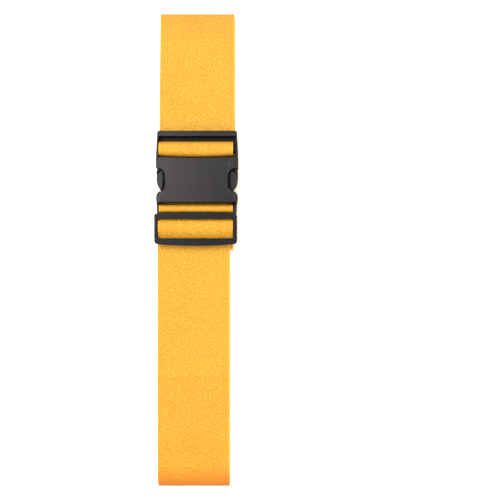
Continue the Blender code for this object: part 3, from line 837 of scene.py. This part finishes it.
def cut_slot(body):
    """The webbing slot, with gussets in its upper corners and the end bar across it."""
    slot_low = (SLOT_X[0] + 0.25 * MM, SHELL_LOW.y - MM, SHELL_LOW.z - MM)
    slot_high = (SLOT_X[1] - 0.37 * MM, SHELL_EDGE_Y, SHELL_HIGH.z + MM)
    combine(body, block("slot_tool", slot_low, slot_high), "DIFFERENCE")
    for x in (slot_low[0], slot_high[0] - 1.6 * MM):
        gusset_low = (x - 0.3 * MM, LOOP_HIGH.y - 0.25 * MM, RAIL_Z[0])
        gusset_high = (x + 1.9 * MM, SHELL_EDGE_Y + 0.4 * MM, 12.0 * MM)
        combine(body, block("gusset", gusset_low, gusset_high), "UNION")
    ledge_low = (slot_high[0] - MM, SHELL_LOW.y - MM, 9.5 * MM)
    ledge_high = (slot_high[0] + 0.85 * MM, SHELL_EDGE_Y, SHELL_HIGH.z + MM)
    combine(body, block("ledge", ledge_low, ledge_high), "DIFFERENCE")
    section = rounded_box((27.5 * MM, 10.5 * MM), (30.1 * MM, 14.4 * MM), 1.0 * MM)
    reach = (SLOT_X[0] - BAR_ROOT, SLOT_X[1] + BAR_ROOT)
    combine(body, bar("end_bar", reach, section), "UNION")


def cut_windows(body):
    """The side windows, which leave a narrow ledge of the lower plate under the arms."""
    upper, lower = (9.2 * MM, SHELL_HIGH.z + MM), (SHELL_LOW.z - MM, 9.3 * MM)
    for side in (1, -1):
        for reach, heights in ((0.0, upper), (2.6 * MM, lower)):
            outline = []
            for x, y in window_outline():
                shift = reach * float(ease((y - 40.0 * MM) / (2.5 * MM)))
                outline.append((side * (x + shift), y))
            combine(body, plate("window", outline, heights, BUCKLE_X), "DIFFERENCE")


def make_shell():
    """The socket half: hollow, with side windows, a webbing slot and an end bar."""
    body = shell_block()
    cut_slot(body)
    throat = in_mm([(26.5, 70.0), (26.5, 64.0), (24.9, 62.0), (24.9, 36.0)])
    combine(body, plate("cavity", mirrored(throat), CAVITY_Z, BUCKLE_X), "DIFFERENCE")
    cut_windows(body)
    soften(body, 0.35 * MM, 3, flat_angle=0.04)
    thicken_right(body)
    finish_part(body, CHARCOAL, "strap", "female_shell")


BAY_X, BAY_Y = (-25.3 * MM, 25.2 * MM), (63.75 * MM, 77.4 * MM)  # the opening for the webbing
ABOVE = 30.0 * MM  # a height above everything


def cut_bay(body):
    """The tongue's opening, bowed as the roll of webbing in it, with gussets in its corners."""
    bay = [(BAY_X[1], BAY_Y[0]), (BAY_X[1], BAY_Y[1]), (BAY_X[0], BAY_Y[1])]
    for n in range(13):
        share = n / 12
        x = BAY_X[0] + (BAY_X[1] - BAY_X[0]) * share
        bay.append((x, BAY_Y[0] - ROLL_BULGE * 4 * share * (1 - share)))
    combine(body, plate("bay", bay, (0.0, ABOVE)), "DIFFERENCE")
    for x in (BAY_X[0], BAY_X[1] - 0.35 * MM):
        for low, high in ((63.5 * MM, 65.3 * MM), (73.0 * MM, 75.0 * MM)):
            gusset_low = (x - 0.3 * MM, low, MALE_LOW.z)
            combine(body, block("gusset", gusset_low, (x + 0.65 * MM, high, 11.5 * MM)), "UNION")
    ledge_low = (BAY_X[1] - MM, 65.4 * MM, 12.6 * MM)
    combine(body, block("ledge", ledge_low, (26.5 * MM, BAY_Y[1], ABOVE)), "DIFFERENCE")
    step_low = (BAY_X[0], 60.0 * MM, 14.2 * MM)
    combine(body, block("step", step_low, (BAY_X[1], 64.75 * MM, ABOVE)), "DIFFERENCE")


def make_tongue():
    """The plug half: outer bar, recess, round inner bar, base and middle guide."""
    top = MALE_HIGH.y
    half = [(25.4 * MM, top), (26.15 * MM, top - 0.35 * MM), (26.65 * MM, top - 1.2 * MM)]
    half += in_mm([(27.45, 64.1), (26.2, 63.95), (24.6, 62.2), (24.5, 61.3)])
    body = plate("buckle_tongue", mirrored(half), (MALE_LOW.z, MALE_HIGH.z), BUCKLE_X)
    cut_bay(body)
    across = (BAY_X[0] - BAR_ROOT, BAY_X[1] + BAR_ROOT)
    section = rounded_box((65.6 * MM, 10.5 * MM), (72.6 * MM, 15.6 * MM), 2.2 * MM)
    combine(body, bar("inner_bar", across, section), "UNION")
    lip = block("lip", (across[0], 74.5 * MM, MALE_LOW.z), (across[1], 78.0 * MM, 10.9 * MM))
    combine(body, lip, "UNION")
    half = in_mm([(11.0, 62.3), (11.0, 45.0), (8.5, 42.0)])
    combine(body, plate("guide", mirrored(half), (11.2 * MM, 13.9 * MM), BUCKLE_X), "UNION")
    soften(body, 0.6 * MM, 4)
    thicken_right(body)
    finish_part(body, CHARCOAL, "tongue", "male_frame")


def spline_point(p0, p1, p2, p3, t):
    """A point of a Catmull-Rom curve between p1 and p2."""
    p0, p1, p2, p3 = (np.array(p) for p in (p0, p1, p2, p3))
    bend = (2 * p0 - 5 * p1 + 4 * p2 - p3) * t * t + (3 * p1 - p0 - 3 * p2 + p3) * t**3
    return tuple(0.5 * (2 * p1 + (p2 - p0) * t + bend))


def smooth_closed(points, steps=6):
    """A closed curve through points."""
    count = len(points)
    out = []
    for n in range(count):
        near = [points[(n + k - 1) % count] for k in range(4)]
        out += [spline_point(*near, s / steps) for s in range(steps)]
    return out


def smooth_open(points, steps=6):
    """A curve through points, from the first to the last."""
    ends = [points[0]] + points + [points[-1]]
    out = []
    for n in range(len(points) - 1):
        out += [spline_point(*ends[n:n + 4], s / steps) for s in range(steps)]
    return out + [points[-1]]


def in_mm(points):
    return [(x * MM, y * MM) for x, y in points]


def make_arms():
    """The latch arms: a slim neck, a leaf-shaped thumb pad and a small shoulder."""
    pivot = (19.6 * MM, 59.4 * MM)
    root = arc(pivot, 1.6 * MM, 0.0, 180.0, 12)
    neck = in_mm([(18.0, 56.0), (20.4, 51.0), (22.0, 46.0), (21.4, 40.2), (21.5, 38.7), (22.3, 38.3),
                  (23.1, 38.8)])
    catch = smooth_open(in_mm([(24.5, 40.6), (26.1, 43.3), (27.0, 46.2), (27.2, 48.6), (27.2, 51.6),
                               (27.1, 54.4), (26.4, 55.3), (24.5, 55.5), (22.6, 56.6)]), 4)
    leaf = in_mm([(23.3, 53.9), (25.2, 52.6), (26.9, 50.2), (27.0, 47.8), (26.5, 45.2), (25.4, 42.6),
                  (24.3, 40.9), (23.6, 41.8), (23.1, 44.6), (22.9, 48.0), (23.0, 51.4)])
    corner = in_mm([(24.3, 55.3), (26.2, 55.2), (26.9, 54.4), (27.1, 52.2), (26.3, 52.9), (25.3, 54.1)])
    for side, word in ((1, "right"), (-1, "left")):
        outline = [(side * x, y) for x, y in root + neck + catch]
        arm = plate(f"{word}_arm", outline, (10.8 * MM, 14.6 * MM), BUCKLE_X)
        pad = smooth_closed([(side * x, y) for x, y in leaf])
        combine(arm, plate("pad", pad, (10.4 * MM, 17.4 * MM), BUCKLE_X), "UNION")
        raised = smooth_closed([(side * x, y) for x, y in corner], 3)
        combine(arm, plate("shoulder", raised, (10.4 * MM, 17.0 * MM), BUCKLE_X), "UNION")
        soften(arm, 0.4 * MM, 4)
        thicken_right(arm)
        finish_part(arm, CHARCOAL, f"{word}_arm", f"{word}_latch_arm")


def make_tri_glide():
    """The adjuster: bowed outer bars with round edges, and a lower middle bar."""
    half, middle, steps = (GLIDE_HIGH.x - GLIDE_LOW.x) / 2 + 0.15 * MM, GLIDE_X + 0.15 * MM, 20
    low_bow, low_corner, top_bow, top_corner = 1.1 * MM, 2.5 * MM, 0.8 * MM, 1.8 * MM
    low, high = GLIDE_LOW.y + low_bow, GLIDE_HIGH.y - top_bow
    upper = arc((half - top_corner, high - top_corner), top_corner, 90.0, 0.0, 10)
    lower = arc((half - low_corner, low + low_corner), low_corner, 0.0, -90.0, 10)
    top_edge, low_edge = [], []
    for n in range(1, steps):
        x = 2 * n / steps - 1
        top_edge.append(((half - top_corner) * x, high + top_bow * (1 - x * x)))
        low_edge.append(((low_corner - half) * x, low - low_bow * (1 - x * x)))
    outline = upper + lower + low_edge
    outline += [(-x, y) for x, y in reversed(lower)] + [(-x, y) for x, y in reversed(upper)] + top_edge
    body = plate("tri_glide_frame", outline, (GLIDE_LOW.z, GLIDE_HIGH.z), middle)
    inner = (HUMP[1] - HUMP[0] / 2 - 0.12 * MM, HUMP[1] + HUMP[0] / 2 + 0.02 * MM)
    window = rounded_box((inner[0], 8.7 * MM), (inner[1], 21.9 * MM), 0.8 * MM, 5)
    combine(body, plate("glide_window", window, (0.0, ABOVE)), "DIFFERENCE")
    arch = block("arch", (inner[0], 0.0, 0.0), (inner[1], 30.0 * MM, 13.7 * MM))
    combine(body, arch, "DIFFERENCE")
    across = (inner[0] - BAR_ROOT, inner[1] + BAR_ROOT)
    section = arc((16.7 * MM, 13.0 * MM), 1.4 * MM, 0.0, 90.0, 8)
    section += arc((15.1 * MM, 11.6 * MM), 2.8 * MM, 90.0, 180.0, 12)
    section += [(12.3 * MM, 10.6 * MM), (18.1 * MM, 10.6 * MM)]
    combine(body, bar("glide_bar", across, section), "UNION")
    soften(body, 0.8 * MM, 5)
    finish_part(body, BLACK, "adjuster", "tri_glide")


# ---------------------------------------------------------------- stage
def make_stage():
    """The white floor."""
    mesh = bpy.data.meshes.new("floor")
    size = 6.0
    corners = [(-size, -size, 0), (size, -size, 0), (size, size, 0), (-size, size, 0)]
    mesh.from_pydata(corners, [], [(0, 1, 2, 3)])
    mesh.materials.append(floor_material())
    link(mesh, "floor")


def area_light(name, place, size, power):
    """A square lamp that faces the middle of the strap."""
    lamp = bpy.data.lights.new(name, "AREA")
    lamp.shape = "RECTANGLE"
    lamp.size = lamp.size_y = size
    lamp.energy = power
    thing = bpy.data.objects.new(name, lamp)
    thing.location = place
    thing.rotation_mode = "QUATERNION"
    thing.rotation_quaternion = (-Vector(place)).to_track_quat("-Z", "Y")
    bpy.context.scene.collection.objects.link(thing)


def make_lights():
    """A pale sky that is brighter overhead and low at the horizon, and two lamps."""
    world = bpy.data.worlds.new("studio")
    bpy.context.scene.world = world
    world.use_nodes = True
    tree = world.node_tree
    background = tree.nodes["Background"]
    background.inputs["Color"].default_value = (1.0, 1.0, 1.0, 1.0)
    direction = tree.nodes.new("ShaderNodeTexCoord").outputs["Generated"]
    parts = tree.nodes.new("ShaderNodeSeparateXYZ")
    tree.links.new(direction, parts.inputs[0])
    overhead = map_range(tree, parts.outputs[2], 0.0, 0.9, 0.10, 0.62)
    horizon = map_range(tree, parts.outputs[2], 0.06, 0.20, 0.95, 0.0)
    glow = math_node(tree, "MAXIMUM", overhead, horizon)
    tree.links.new(glow, background.inputs["Strength"])
    area_light("key", (-0.65, 0.75, 2.05), 1.6, 62.0)
    area_light("fill", (1.00, -0.90, 2.05), 1.8, 26.0)


def make_camera():
    """Straight above, beside the strap, so that it stands left of the middle."""
    data = bpy.data.cameras.new("camera")
    camera = bpy.data.objects.new("camera", data)
    height, view_width, focus_z = 0.61, 0.34, 0.010
    right_of_strap, up_of_middle = 0.03638, 0.00074
    data.sensor_width = 36.0
    data.lens = data.sensor_width * (height - focus_z) / view_width
    camera.location = (right_of_strap, up_of_middle, height)
    bpy.context.scene.collection.objects.link(camera)
    bpy.context.scene.camera = camera


def main():
    bpy.context.scene.view_settings.view_transform = "Standard"
    make_camera()
    make_lights()
    make_stage()
    face = make_face_run()
    make_base_layer(face["flat_length"])
    make_inner_layers()
    make_tongue_run()
    make_end_loop()
    make_glide_turn()
    make_tail()
    make_shell()
    make_tongue()
    make_arms()
    make_tri_glide()


main()
